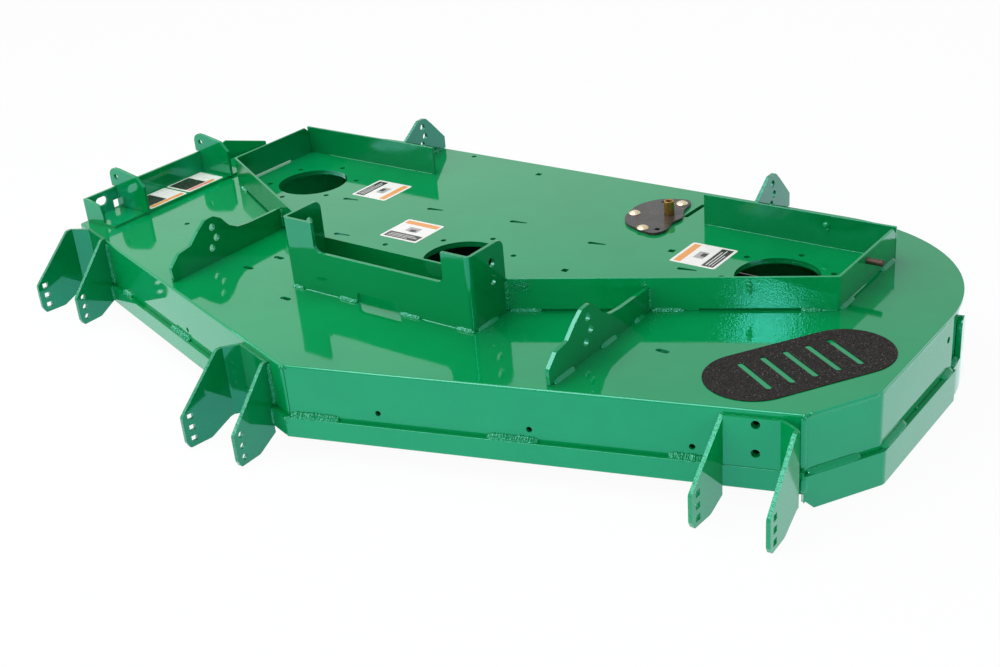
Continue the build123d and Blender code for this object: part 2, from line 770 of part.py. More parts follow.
def plate_label(spindle, place):
    return label(spindle[0] + place[0], spindle[1] + place[1], 0, plate_label_side, plate_label_side)


def channel_label(side):
    middle_x = (channel_back_x + channel_t + channel_front_x) / 2
    middle_y = (hinge_front_y + hinge_rear_y) / 2
    step = (channel_label_length + channel_label_gap) / 2
    return label(middle_x, middle_y + side * step, channel_t, channel_label_width, channel_label_length)


def make_parts():
    left, center, right = spindles
    return {
        "deck_plate": deck_plate(),
        "right_skirt": right_skirt(),
        "rear_skirt": rear_skirt(),
        "left_front_band": front_band(0),
        "front_band": front_band(1),
        "right_band": right_band(),
        "rear_band": rear_band(),
        "left_belt_fence": side_fence(-1),
        "middle_belt_fence": middle_fence(),
        "right_belt_fence": side_fence(1),
        "left_rear_fence": rear_fence(-fence_x, left_rear_fence_end_x),
        "right_rear_fence": rear_fence(right_rear_fence_end_x, fence_x),
        "belt_tower": belt_tower(),
        "left_lift_plate": lift_plate(-1),
        "right_lift_plate": lift_plate(1),
        "left_rear_lift_ear": rear_lift_ear(-1),
        "right_rear_lift_ear": rear_lift_ear(1),
        "left_gauge_bracket": left_gauge_bracket(),
        "center_gauge_bracket": center_gauge_bracket(),
        "right_gauge_bracket": right_gauge_bracket(),
        "discharge_channel": discharge_channel(),
        "front_hinge_ear": hinge_ear(hinge_front_y),
        "rear_hinge_ear": hinge_ear(hinge_rear_y),
        "discharge_flange": discharge_flange(),
        "rear_lug": rear_lug(),
        "left_spindle_doubler": spindle_doubler(*left),
        "center_spindle_doubler": spindle_doubler(*center),
        "right_spindle_doubler": spindle_doubler(*right),
        "idler_plate": idler_plate(),
        "idler_bolts": Compound(children=[idler_bolt(x, y) for x, y in idler_bolts]),
        "idler_nuts": Compound(children=[idler_nut(x, y) for x, y in idler_bolts]),
        "idler_spacer": idler_spacer(),
        "anchor_pin": anchor_pin(),
        "grip_pad": grip_pad(),
        "left_plate_label": plate_label(left, left_label_place),
        "center_plate_label": plate_label(center, center_label_place),
        "right_plate_label": plate_label(right, right_label_place),
        "front_channel_label": channel_label(-1),
        "rear_channel_label": channel_label(1),
    }


os.makedirs("parts", exist_ok=True)
for name, shape in make_parts().items():
    export_step(shape, "parts/" + name + ".step")
    print(name, round(shape.volume / 1000), "cm3", len(shape.solids()), "solid")
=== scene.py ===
import math
import random

import bmesh
import bpy
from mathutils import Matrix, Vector, noise


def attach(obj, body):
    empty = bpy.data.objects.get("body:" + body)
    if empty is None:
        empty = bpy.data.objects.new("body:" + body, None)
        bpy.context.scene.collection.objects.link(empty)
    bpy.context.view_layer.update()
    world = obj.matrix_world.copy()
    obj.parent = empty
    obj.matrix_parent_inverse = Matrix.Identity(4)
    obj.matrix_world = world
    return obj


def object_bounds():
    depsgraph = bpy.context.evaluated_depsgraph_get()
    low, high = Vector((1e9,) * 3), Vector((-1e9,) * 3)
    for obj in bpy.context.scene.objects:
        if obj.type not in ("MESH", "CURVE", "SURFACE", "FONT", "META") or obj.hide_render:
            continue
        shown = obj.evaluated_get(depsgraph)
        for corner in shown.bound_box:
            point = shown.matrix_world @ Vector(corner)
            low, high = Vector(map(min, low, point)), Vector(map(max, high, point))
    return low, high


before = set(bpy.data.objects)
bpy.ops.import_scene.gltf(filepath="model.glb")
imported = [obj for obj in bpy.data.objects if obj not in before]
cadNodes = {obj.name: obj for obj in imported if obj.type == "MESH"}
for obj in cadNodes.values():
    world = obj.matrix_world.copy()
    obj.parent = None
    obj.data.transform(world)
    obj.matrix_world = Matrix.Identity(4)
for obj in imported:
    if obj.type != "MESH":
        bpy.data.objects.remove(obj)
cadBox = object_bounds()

mm = 0.001
up = Vector((0, 0, 1))
right = Vector((1, 0, 0))
rearward = Vector((0, 1, 0))
print("frame:", len(cadNodes), "nodes")


# Shader maths: a Wire is an output socket that can be added, multiplied and so on
class Wire:
    def __init__(self, finish, socket):
        self.finish = finish
        self.socket = socket

    def out(self, name):
        return Wire(self.finish, self.socket.node.outputs[name])

    def calc(self, operation, first, second):
        return self.finish.node("Math", {"operation": operation}, {0: first, 1: second})

    def __add__(self, other):
        return self.calc("ADD", self, other)

    def __sub__(self, other):
        return self.calc("SUBTRACT", self, other)

    def __rsub__(self, other):
        return self.calc("SUBTRACT", other, self)

    def __mul__(self, other):
        return self.calc("MULTIPLY", self, other)

    def __gt__(self, other):
        return self.calc("GREATER_THAN", self, other)

    def __lt__(self, other):
        return self.calc("LESS_THAN", self, other)

    def atMost(self, other):
        return self.calc("MINIMUM", self, other)

    def atLeast(self, other):
        return self.calc("MAXIMUM", self, other)

    def size(self):
        return self.calc("ABSOLUTE", self, 0.0)


# One node tree of a material or the world
class Finish:
    def __init__(self, owner):
        owner.use_nodes = True
        self.tree = owner.node_tree
        self.tree.nodes.clear()

    def node(self, kind, settings=None, sockets=None):
        made = self.tree.nodes.new("ShaderNode" + kind)
        for name, value in (settings or {}).items():
            setattr(made, name, value)
        for name, value in (sockets or {}).items():
            if isinstance(name, int):
                socket = made.inputs[name]
            else:
                socket = next(s for s in made.inputs if s.name == name and s.enabled)
            if isinstance(value, Wire):
                self.tree.links.new(value.socket, socket)
            else:
                socket.default_value = value
        return Wire(self, next((s for s in made.outputs if s.enabled), None))

    def place(self):
        return self.node("TexCoord").out("Object")  # metres in the deck's own frame

    def split(self, vector):
        return self.node("SeparateXYZ", None, {"Vector": vector})

    def rays(self):
        # The light path, and a wire that is 1 for camera, gloss and transmitted rays
        path = self.node("LightPath")
        seen = path.out("Is Camera Ray").atLeast(path.out("Is Glossy Ray"))
        return path, seen.atLeast(path.out("Is Transmission Ray"))

    def grain(self, place, perMetre, detail, rough=0.5):
        return self.node("TexNoise", None, {"Vector": place, "Scale": perMetre,
                                            "Detail": detail, "Roughness": rough})

    def blend(self, factor, first, second):
        return self.node("Mix", {"data_type": "RGBA"}, {"Factor": factor, "A": first, "B": second})

    def ease(self, value, low, high, toLow=0.0, toHigh=1.0):
        return self.node("MapRange", {"interpolation_type": "SMOOTHSTEP"},
                         {"Value": value, "From Min": low, "From Max": high,
                          "To Min": toLow, "To Max": toHigh})

    def bump(self, height, depth, under=None, strength=1.0):
        sockets = {"Height": height, "Distance": depth, "Strength": strength}
        if under:
            sockets["Normal"] = under
        return self.node("Bump", None, sockets)

    def cover(self, sockets):
        shader = self.node("BsdfPrincipled", None, sockets)
        self.node("OutputMaterial", None, {"Surface": shader})


def newMaterial(name):
    material = bpy.data.materials.new(name)
    return material, Finish(material)


# Camera and studio
shot = {
    "place": (1.3908, -1.6572, 0.9235),
    "turn": (63.52499, 4.56576, 36.36243),  # degrees, XYZ
    "lens": 50.148,
    "sensor": 36.0,
    "clip": (0.05, 100.0),
}

camera = bpy.data.objects.new("camera", bpy.data.cameras.new("camera"))
bpy.context.scene.collection.objects.link(camera)
camera.location = shot["place"]
camera.rotation_euler = [math.radians(a) for a in shot["turn"]]
camera.data.lens = shot["lens"]
camera.data.sensor_width = shot["sensor"]
camera.data.clip_start, camera.data.clip_end = shot["clip"]
bpy.context.scene.camera = camera
bpy.context.scene.view_settings.view_transform = "Standard"

studio = {
    "floorZ": cadBox[0][2],
    "floorHalf": 14.0,
    "floorColour": (0.92, 0.95, 0.98, 1),
    "floorShade": (0.06, 0.07, 0.065, 1),
    "floorGlow": 0.95,       # share of plain white that camera and gloss see on the floor
    "floorFill": 0.28,       # and that matt surfaces get from it
    "shade": ((-0.66, 0.73), -0.345, 0.05),     # painted floor shadow under the deck: x, front, softness
    "shadeSweep": 0.313,                        # how far its front edge falls back with x
    "shadeRound": (0.5, 0.146, 0.283, 0.298),   # centre and radii of its rounded rear corners
    "white": (1, 1, 1, 1),
    "cool": (0.90, 0.96, 1, 1),
    "glossRoom": 0.74,       # how bright gloss sees the room, what its left adds, and the floor
    "glossLeft": 0.42,
    "glossFloor": 1.42,
    "fillTop": 0.99,         # soft light on matt surfaces, from above and from the left
    "fillLeft": 0.85,
    "softbox": (-0.330, -0.400, 0.855),   # direction of a soft light that only gloss sees
    "softboxEdge": (0.875, 0.93),         # cosines of its outer and inner edge
    "softboxGlow": 9.0,
    "softboxColour": (1, 0.55, 0.55, 1),
    "unseenInGloss": ("frontBox", "rightLow", "topSoft", "topStrip"),
    "lamps": (               # name, place, aims at, size, watts
        ("frontBox", (-0.6, -3.2, 0.8), (0.0, -0.2, 0.0), (3.0, 1.2), 34.5),
        ("rightLow", (1.7, -0.5, -0.02), (0.75, 0.0, -0.08), (1.0, 0.3), 2.6),
        ("topSoft", (-0.7, -0.1, 1.7), (-0.7, -0.1, 0.0), (1.0, 1.2), 10.0),
        ("topStrip", (-0.2, -0.1, 2.6), (0.0, 0.0, 0.0), (2.4, 0.12), 8.0),
        ("leftStrip", (-2.2, -1.2, 1.9), (0.0, 0.0, 0.0), (0.12, 1.6), 5.0),
        ("cameraLamp", (1.436, -1.645, 1.03), (0.0, 0.0, 0.0), (0.16, 0.34), 3.6),
    ),
}


def makeFloor():
    half = studio["floorHalf"]
    skin = bmesh.new()
    corners = [skin.verts.new((x, y, studio["floorZ"]))
               for x, y in ((-half, -half), (half, -half), (half, half), (-half, half))]
    skin.faces.new(corners)
    mesh = bpy.data.meshes.new("studio_floor")
    skin.to_mesh(mesh)
    skin.free()
    floor = bpy.data.objects.new("studio_floor", mesh)
    bpy.context.scene.collection.objects.link(floor)
    material, finish = newMaterial("floor_paper")
    path, seen = finish.rays()
    spot = finish.split(finish.place())
    x, y = spot.out("X"), spot.out("Y")
    aside = x.size()
    (x0, x1), y0, soft = studio["shade"]
    between = finish.ease(x, x0 - soft, x0) * finish.ease(x, x1, x1 + soft, 1.0, 0.0)
    front = finish.ease(y - aside * studio["shadeSweep"], y0 - soft, y0)
    endX, endY, inner, outer = studio["shadeRound"]
    past, behind = (aside - endX).atLeast(0.0), (y - endY).atLeast(0.0)
    rear = finish.ease(past * past + behind * behind, inner ** 2, outer ** 2, 1.0, 0.0)
    # Painted shadow: under the deck the floor takes the dark colour and stops glowing
    under = between * front * rear
    tint = finish.blend(under, studio["floorColour"], studio["floorShade"])
    paper = finish.node("BsdfDiffuse", None, {"Color": tint})
    light = finish.blend(path.out("Is Camera Ray"), studio["cool"], studio["white"])
    strength = path.out("Is Glossy Ray") * (studio["glossFloor"] - 1) + 1
    glow = finish.node("Emission", None, {"Color": light, "Strength": strength})
    share = seen * (studio["floorGlow"] - studio["floorFill"]) + studio["floorFill"]
    sheet = finish.node("MixShader", None, {0: share * (1 - under), 1: paper, 2: glow})
    finish.node("OutputMaterial", None, {"Surface": sheet})
    mesh.materials.append(material)


def makeWorld():
    world = bpy.data.worlds.new("studio")
    bpy.context.scene.world = world
    finish = Finish(world)
    path, seen = finish.rays()
    heading = finish.node("TexCoord").out("Generated")
    side = finish.split(heading)
    left = side.out("X").atMost(0.0)
    high = side.out("Z").atLeast(0.0)
    fill = left * left * studio["fillLeft"] + high * high * studio["fillTop"]
    facing = finish.node("VectorMath", {"operation": "DOT_PRODUCT"},
                         {0: heading, 1: studio["softbox"]})
    box = finish.ease(facing.out("Value"), *studio["softboxEdge"]) * path.out("Is Glossy Ray")
    gloss = left * left * studio["glossLeft"] + studio["glossRoom"] + box * studio["softboxGlow"]
    plain = path.out("Is Camera Ray")
    strength = fill * (1 - seen) + seen * (gloss * (1 - plain) + plain)
    colour = finish.blend(box, studio["white"], studio["softboxColour"])
    glow = finish.node("Background", None, {"Color": colour, "Strength": strength})
    finish.node("OutputWorld", None, {"Surface": glow})


def makeLamps():
    for name, place, target, (width, depth), watts in studio["lamps"]:
        data = bpy.data.lights.new(name, "AREA")
        data.shape = "RECTANGLE"
        data.size, data.size_y, data.energy = width, depth, watts
        lamp = bpy.data.objects.new(name, data)
        lamp.location = place
        aim = Vector(target) - Vector(place)
        lamp.rotation_euler = aim.to_track_quat("-Z", "Y").to_euler()
        lamp.visible_camera = False
        lamp.visible_glossy = name not in studio["unseenInGloss"]
        bpy.context.scene.collection.objects.link(lamp)


makeFloor()
makeWorld()
makeLamps()
print("studio: camera, floor,", len(studio["lamps"]), "lamps")


# Glossy deck enamel: orange peel, sheets that are not quite flat, rougher cut edges on brackets.
# Here and in the next finishes a grain is (per metre, detail, roughness), and an edge is where
# its effect starts and where it is full.
enamel = {
    "green": (0.0, 0.295, 0.076, 1),
    "greenDeep": (0.0, 0.270, 0.068, 1),
    "deepGrain": (5.0, 4.0, 0.6),
    "deepEdge": (0.35, 0.65),
    "gloss": (0.22, 1, 1, 1),     # tint of reflections on the paint
    "ior": 1.8,
    "rough": (0.045, 0.085),
    "roughGrain": (23.0, 4.0, 0.65),
    "roughEdge": (0.4, 0.72),
    "waveGrain": (7.0, 1.0),
    "waveDepth": 0.0005,
    "peelGrain": (330.0, 1.5),
    "peelDepth": 0.000022,
    "cutGrain": (260.0, 3.0, 0.7),
    "cutDepth": 0.0018,
    "cutStretch": (0.25, 1, 1),
    "cutFacing": (0.2, 0.27),     # a face that looks less along x than this is a cut edge
    "weldGrain": (230.0, 3.0, 0.65),
    "weldDepth": 0.0016,
}


def enamelFinish(name, tone=1.0, haze=1.0, peel=1.0, cutEdges=False, weld=False):
    material, finish = newMaterial(name)
    place = finish.place()
    # tone scales the base colour: below 1 it is painted shade, above 1 painted light
    shades = [tuple(part * tone for part in enamel[key][:3]) + (1,)
              for key in ("green", "greenDeep")]
    deep = finish.ease(finish.grain(place, *enamel["deepGrain"]), *enamel["deepEdge"])
    colour = finish.blend(deep, *shades)
    rough = [part * haze for part in enamel["rough"]]
    dull = finish.ease(finish.grain(place, *enamel["roughGrain"]), *enamel["roughEdge"], *rough)
    wave = finish.bump(finish.grain(place, *enamel["waveGrain"]), enamel["waveDepth"])
    skin = finish.grain(place, *enamel["peelGrain"])
    normal = finish.bump(skin, enamel["peelDepth"] * peel, wave)
    if cutEdges:  # flame-cut edges: fine lines across the plate's thickness
        facing = finish.split(finish.node("NewGeometry").out("Normal"))
        edge = finish.ease(facing.out("X").size(), *enamel["cutFacing"], 1.0, 0.0)
        along = finish.node("VectorMath", {"operation": "MULTIPLY"},
                            {0: place, 1: enamel["cutStretch"]})
        lines = finish.grain(along, *enamel["cutGrain"])
        normal = finish.bump(lines * edge, enamel["cutDepth"], normal)
    if weld:  # crusted weld metal under the paint
        crust = finish.grain(place, *enamel["weldGrain"])
        normal = finish.bump(crust, enamel["weldDepth"], normal)
    finish.cover({"Base Color": colour, "Roughness": dull, "IOR": enamel["ior"],
                  "Specular Tint": enamel["gloss"], "Normal": normal})
    return material


deckEnamel = enamelFinish("deck_enamel")
bracketEnamel = enamelFinish("bracket_enamel", cutEdges=True)
# Painted shade: darker copies of the enamel for faces that get less light
shadedEarEnamel = enamelFinish("shaded_ear_enamel", tone=0.76, cutEdges=True)
shadedTowerEnamel = enamelFinish("shaded_tower_enamel", tone=0.88)
shadedFenceEnamel = enamelFinish("shaded_fence_enamel", tone=0.80, haze=3.0)
shadedLiftEnamel = enamelFinish("shaded_lift_enamel", tone=0.86)
# Painted light: a lighter copy of the enamel for the right belt fence, with coarser orange peel
litPeeledEnamel = enamelFinish("lit_peeled_enamel", tone=1.08, peel=4.0)
weldEnamel = enamelFinish("weld_enamel", weld=True)
print("finish: deck enamel")


# Black paint of the idler plate
blackPaint = {
    "black": (0.028, 0.027, 0.026, 1),
    "worn": (0.045, 0.043, 0.040, 1),
    "wornGrain": (60.0, 5.0, 0.65),
    "wornEdge": (0.45, 0.7),
    "rough": (0.2, 0.34),
    "roughGrain": (35.0, 3.0),
    "roughEdge": (0.3, 0.7),
    "skinGrain": (900.0, 2.0),
    "skinDepth": 0.00006,
}


def blackFinish():
    material, finish = newMaterial("idler_black")
    place = finish.place()
    scuff = finish.ease(finish.grain(place, *blackPaint["wornGrain"]), *blackPaint["wornEdge"])
    colour = finish.blend(scuff, blackPaint["black"], blackPaint["worn"])
    rough = finish.ease(finish.grain(place, *blackPaint["roughGrain"]),
                        *blackPaint["roughEdge"], *blackPaint["rough"])
    skin = finish.bump(finish.grain(place, *blackPaint["skinGrain"]), blackPaint["skinDepth"])
    finish.cover({"Base Color": colour, "Roughness": rough, "Normal": skin})
    return material


# Plated and bare metals: base and stain colour, roughness range, stains per metre, scratch depth
# and share of metal
metals = {
    "yellow_zinc": ((0.88, 0.81, 0.60, 1), (0.76, 0.62, 0.36, 1), (0.22, 0.38),
                    160.0, 0.00004, 0.9),
    "spacer_brass": ((0.40, 0.26, 0.07, 1), (0.26, 0.15, 0.035, 1), (0.28, 0.45),
                     220.0, 0.00006, 0.9),
    "bare_steel": ((0.055, 0.050, 0.034, 1), (0.035, 0.032, 0.022, 1), (0.45, 0.65),
                   300.0, 0.00012, 0.35),
}
plating = {  # what all metals share; finer says how much finer than the stains a grain is
    "stainGrain": (4.0, 0.6),
    "stainEdge": (0.38, 0.66),
    "roughFiner": 1.7,
    "roughDetail": 3.0,
    "roughEdge": (0.3, 0.7),
    "scratchFiner": 8,
    "scratchDetail": 2.0,
}


def metalFinish(name):
    base, stain, rough, perMetre, depth, metal = metals[name]
    material, finish = newMaterial(name + "_plating")
    place = finish.place()
    cloud = finish.ease(finish.grain(place, perMetre, *plating["stainGrain"]),
                        *plating["stainEdge"])
    colour = finish.blend(cloud, base, stain)
    haze = finish.grain(place, perMetre * plating["roughFiner"], plating["roughDetail"])
    gloss = finish.ease(haze, *plating["roughEdge"], *rough)
    scratch = finish.grain(place, perMetre * plating["scratchFiner"], plating["scratchDetail"])
    finish.cover({"Base Color": colour, "Roughness": gloss, "Metallic": metal,
                  "Normal": finish.bump(scratch, depth)})
    return material


# Gritty foot pad
gritPad = {
    "dark": (0.0125, 0.0135, 0.0135, 1),
    "light": (0.044, 0.045, 0.044, 1),
    "lightEdge": (0.2, 1.0),
    "glint": (0.17, 0.16, 0.16, 1),
    "glintFrom": 0.98,       # painted glints: one grain in fifty is painted bright
    "gritPerMetre": 850.0,
    "gritDepth": 0.0009,
    "gritStrength": 0.8,
    "fineGrain": (1500.0, 2.0),
    "fineShare": 0.5,
    "rough": 0.85,
    "shine": 0.12,
}


def gritFinish():
    material, finish = newMaterial("pad_grit")
    place = finish.place()
    cells = finish.node("TexVoronoi", {"feature": "F1"},
                        {"Vector": place, "Scale": gritPad["gritPerMetre"]})
    shade = finish.split(cells.out("Color"))
    light = finish.ease(shade.out("X"), *gritPad["lightEdge"])
    tone = finish.blend(light, gritPad["dark"], gritPad["light"])
    # Painted glints: a few grains get a bright base colour
    colour = finish.blend(shade.out("Y") > gritPad["glintFrom"], tone, gritPad["glint"])
    fine = finish.grain(place, *gritPad["fineGrain"]) * gritPad["fineShare"]
    grains = (1 - cells.out("Distance")) + fine
    skin = finish.bump(grains, gritPad["gritDepth"], strength=gritPad["gritStrength"])
    finish.cover({"Base Color": colour, "Roughness": gritPad["rough"],
                  "Specular IOR Level": gritPad["shine"], "Normal": skin})
    return material


# Labels: white vinyl with plain fields of colour. A field is (colour, from, to across, from, to
# along), in shares of the label, where across runs from the orange band to the dark field.
vinyl = {
    "white": (0.93, 0.93, 0.92, 1),
    "orange": (0.86, 0.36, 0.08, 1),
    "dark": (0.030, 0.028, 0.027, 1),
    "grey": (0.42, 0.42, 0.42, 1),
    "pink": (0.86, 0.30, 0.24, 1),
    "rough": (0.20, 0.34),
    "roughGrain": (40.0, 3.0),
    "roughEdge": (0.3, 0.7),
    "skinGrain": (120.0, 2.0),
    "skinDepth": 0.00008,
    "plate": (("orange", 0.06, 0.22, 0.06, 0.94), ("dark", 0.68, 0.94, 0.06, 0.94),
              ("white", 0.745, 0.765, 0.12, 0.80), ("white", 0.81, 0.83, 0.12, 0.88),
              ("white", 0.875, 0.89, 0.12, 0.66), ("grey", 0.34, 0.56, 0.34, 0.66),
              ("dark", 0.44, 0.56, 0.44, 0.60)),
    "channelFront": (("dark", 0.22, 0.95, 0.05, 0.56), ("orange", 0.05, 0.20, 0.05, 0.95)),
    "channelRear": (("dark", 0.22, 0.95, 0.05, 0.62), ("pink", 0.05, 0.20, 0.05, 0.62),
                    ("orange", 0.05, 0.20, 0.62, 0.80)),
}


def labelFinish(name, layout, axis, flip):
    material, finish = newMaterial(name)
    spot = finish.split(finish.node("TexCoord").out("Generated"))
    across = spot.out(axis)
    along = spot.out("Y" if axis == "X" else "X")
    if flip:
        across = 1 - across
    colour = vinyl["white"]
    for tint, a0, a1, b0, b1 in vinyl[layout]:
        inside = (across > a0) * (across < a1) * (along > b0) * (along < b1)
        colour = finish.blend(inside, colour, vinyl[tint])
    place = finish.place()
    rough = finish.ease(finish.grain(place, *vinyl["roughGrain"]),
                        *vinyl["roughEdge"], *vinyl["rough"])
    skin = finish.bump(finish.grain(place, *vinyl["skinGrain"]), vinyl["skinDepth"])
    finish.cover({"Base Color": colour, "Roughness": rough, "Normal": skin})
    return material


finishes = {
    "green_paint": deckEnamel,
    "dark_paint": blackFinish(),
    "yellow_zinc": metalFinish("yellow_zinc"),
    "spacer_brass": metalFinish("spacer_brass"),
    "bare_steel": metalFinish("bare_steel"),
    "grip_grit": gritFinish(),
}
# Darker enamel copies are painted shade; the right belt fence's lighter copy is painted light
coats = {  # nodes whose paint is not the plain deck enamel
    "left_gauge_bracket": shadedEarEnamel,
    "center_gauge_bracket": shadedEarEnamel,
    "right_gauge_bracket": bracketEnamel,
    "belt_tower": shadedTowerEnamel,
    "left_lift_plate": shadedLiftEnamel,
    "right_lift_plate": shadedLiftEnamel,
    "left_rear_lift_ear": shadedEarEnamel,
    "right_rear_lift_ear": shadedEarEnamel,
    "left_rear_fence": shadedFenceEnamel,
    "right_rear_fence": shadedFenceEnamel,
    "left_belt_fence": shadedFenceEnamel,
    "right_belt_fence": litPeeledEnamel,
}
labels = {  # node: layout, axis from the orange band to the dark field, whether it runs backwards
    "left_plate_label": ("plate", "X", True),
    "center_plate_label": ("plate", "Y", True),
    "right_plate_label": ("plate", "X", False),
    "front_channel_label": ("channelFront", "X", True),
    "rear_channel_label": ("channelRear", "X", True),
}

# Sheet edges are slightly round, as painted steel is
edges = {
    "width": 0.0009,
    "thin": 0.00012,         # on labels
    "segments": 2,
    "sharper": math.radians(28),
    "join": 1e-6,
    "flat": math.radians(0.05),
    "weight": 100,
}


def softenEdges(piece, width):
    join = piece.modifiers.new("join", "WELD")
    join.merge_threshold = edges["join"]
    flat = piece.modifiers.new("flat", "DECIMATE")
    flat.decimate_type = "DISSOLVE"
    flat.angle_limit = edges["flat"]
    bevel = piece.modifiers.new("edges", "BEVEL")
    bevel.width = width
    bevel.segments = edges["segments"]
    bevel.limit_method = "ANGLE"
    bevel.angle_limit = edges["sharper"]
    bevel.use_clamp_overlap = True
    shade = piece.modifiers.new("shade", "WEIGHTED_NORMAL")
    shade.weight = edges["weight"]
    shade.keep_sharp = False


for name, piece in cadNodes.items():
    slot = piece.material_slots[0].material.name
    if name in labels:
        piece.material_slots[0].material = labelFinish(name + "_vinyl", *labels[name])
    else:
        piece.material_slots[0].material = coats.get(name, finishes[slot])
    softenEdges(piece, edges["thin"] if name in labels else edges["width"])
print("finish:", len(cadNodes), "nodes dressed")


# Places on the deck, in millimetres, as the CAD model has them
deck = {
    "apexY": -437.0, "sweep": math.radians(17.4), "plateT": 5.0,
    "frontBandZ": -84.0, "sideBandZ": -90.0, "bandT": 8.0,
    "cornerX": 722.0, "sideX": 785.0, "facetBackY": -104.0,
    "endX": 500.0, "endY": 146.0, "skirtR": 281.0,
    "fenceX": 635.5, "fenceCornerY": 92.0, "fenceMidX": 196.0, "fenceMidY": -134.3,
    "fenceRearY": 300.0, "fenceT": 4.5, "fenceHeight": 54.6,
    "towerLeft": -187.0, "towerRight": 194.5, "towerFrontY": -219.5,
    "liftX": 385.0, "liftHalf": 3.2, "liftRearHeight": 38.0,
}


def frontY(x):
    return deck["apexY"] + abs(x) * math.tan(deck["sweep"])


def outward(x):
    return Vector((math.copysign(math.sin(deck["sweep"]), x), -math.cos(deck["sweep"]), 0))


def onFront(x, z, out=0.0):
    return Vector((x, frontY(x), z)) + outward(x) * out


def fenceRun():
    return deck["fenceX"] - deck["fenceMidX"], deck["fenceCornerY"] - deck["fenceMidY"]


def fenceOut(side):
    run = Vector((*fenceRun(), 0)).normalized()
    return Vector((side * run.y, -run.x, 0))


def onFence(x):
    runX, runY = fenceRun()
    share = (abs(x) - deck["fenceMidX"]) / runX
    return Vector((x, deck["fenceMidY"] + share * runY, 0))


def alongX(x0, x1, y, z=0.0):
    return [Vector((x0, y, z)), Vector((x1, y, z))]


def alongY(x, y0, y1, z=0.0):
    return [Vector((x, y0, z)), Vector((x, y1, z))]


# Weld beads, in millimetres or shares of a bead's leg
bead = {
    "step": 0.6, "smoothStep": 5.0, "arc": 8,          # rings along a bead, faces across it
    "pitch": 4.2, "ripple": 0.42, "crescent": 0.6,     # length, height and bow of its scales
    "drift": 0.5, "driftRun": 6.0, "driftRow": 7.5,    # how the scales lose their rhythm
    "grain": 0.14, "grainRun": 1.6, "grainAcross": 4.0,
    "wobble": 0.22, "wobbleRun": 5.0, "wobbleLeast": 0.15,
    "legRows": (0.5, 20.5), "seamRow": 3.5,            # noise rows of legs and seams
    "crown": 0.5, "smoothCrown": 0.12, "crownFrom": 0.3,
    "legEnd": 0.45, "legReach": 1.2, "seamEnd": 0.4,   # size and reach of a bead's ends
    "seamRipple": 2, "sink": 0.4,
}
calm, faint, even = 0.6, 0.1, 0.0  # ripple of smoother beads, in shares of the full one


def samplePath(points, step):
    run, spots = 0.0, []
    for a, b in zip(points, points[1:]):
        length = (b - a).length
        count = max(2, int(length / step))
        for i in range(count):
            spots.append((a.lerp(b, i / count), run + length * i / count))
        run += length
    spots.append((points[-1], run))
    return spots, run


def laySkin(skin, rows):
    # Closed skin over rings of points, with capped ends
    rings = [[skin.verts.new(p * mm) for p in row] for row in rows]
    count = len(rings[0])
    for near, far in zip(rings, rings[1:]):
        for j in range(count):
            k = (j + 1) % count
            skin.faces.new((near[j], near[k], far[k], far[j]))
    skin.faces.new(rings[0])
    skin.faces.new(list(reversed(rings[-1])))


def ridges(s, share, seed):
    # Overlapping scales of a weld: a sharp step up, then a slow fall, with crumbs
    crescent = bead["crescent"] * (1 - (2 * share - 1) ** 2)
    drift = bead["drift"] * noise.noise(Vector((s / bead["driftRun"], seed, bead["driftRow"])))
    scale = (s / bead["pitch"] + crescent + drift) % 1.0
    crumbs = noise.noise(Vector((s / bead["grainRun"], share * bead["grainAcross"], seed)))
    return math.sin(math.pi * share) * bead["ripple"] * (0.5 - scale) + bead["grain"] * crumbs


def sway(s, seed, row, rippled):
    share = bead["wobble"] * max(rippled, bead["wobbleLeast"])
    return 1 + share * noise.noise(Vector((s / bead["wobbleRun"], seed, row)))


def taper(s, length, reach, least):
    near = min(s, length - s)
    return least + (1 - least) * min(1.0, math.sqrt(near / reach))


def filletBead(skin, points, faceA, faceB, leg, seed, rippled=1.0):
    # Weld in the corner between two faces; faceA and faceB point along them, away from the corner
    spots, length = samplePath(points, bead["step"] if rippled else bead["smoothStep"])
    crown = bead["crown"] if rippled > bead["crownFrom"] else bead["smoothCrown"]
    rows = []
    for spot, s in spots:
        size = leg * taper(s, length, bead["legReach"] * leg, bead["legEnd"])
        legA, legB = [size * sway(s, seed, level, rippled) for level in bead["legRows"]]
        row = []
        for j in range(bead["arc"] + 1):
            share = j / bead["arc"]
            turn = share * math.pi / 2
            flat = 1 / (math.cos(turn) + math.sin(turn))
            reach = flat + (1 - flat) * crown
            if rippled:
                reach += rippled * ridges(s, share, seed)
            spotOut = (faceA * (math.cos(turn) * reach * legA)
                       + faceB * (math.sin(turn) * reach * legB))
            if j == 0:
                spotOut -= faceB * bead["sink"]
            if j == bead["arc"]:
                spotOut -= faceA * bead["sink"]
            row.append(spot + spotOut)
        row.append(spot - (faceA + faceB) * bead["sink"])
        rows.append(row)
    laySkin(skin, rows)


def seamBead(skin, points, across, out, width, height, seed, rippled=1.0):
    # Weld lying on a flat or slightly bent seam
    spots, length = samplePath(points, bead["step"] if rippled else bead["smoothStep"])
    rows = []
    for spot, s in spots:
        size = taper(s, length, width, bead["seamEnd"]) * sway(s, seed, bead["seamRow"], rippled)
        row = []
        for j in range(bead["arc"] + 1):
            share = j / bead["arc"]
            turn = share * math.pi
            rise = math.sin(turn)
            if rippled:
                rise *= 1 + bead["seamRipple"] * rippled * ridges(s, share, seed)
            row.append(spot + across * (math.cos(turn) * width / 2 * size)
                       + out * (rise * height * size - bead["sink"]))
        rows.append(row)
    laySkin(skin, rows)


# Spatter: small round drops, rings of a flat dome from its foot up
drop = {
    "sides": 7,
    "rings": ((1.0, -0.25), (0.95, 0.12), (0.62, 0.46)),   # radius and height
    "top": 0.6,
    "spread": 0.5,           # of a patch, as a share of its reach
}


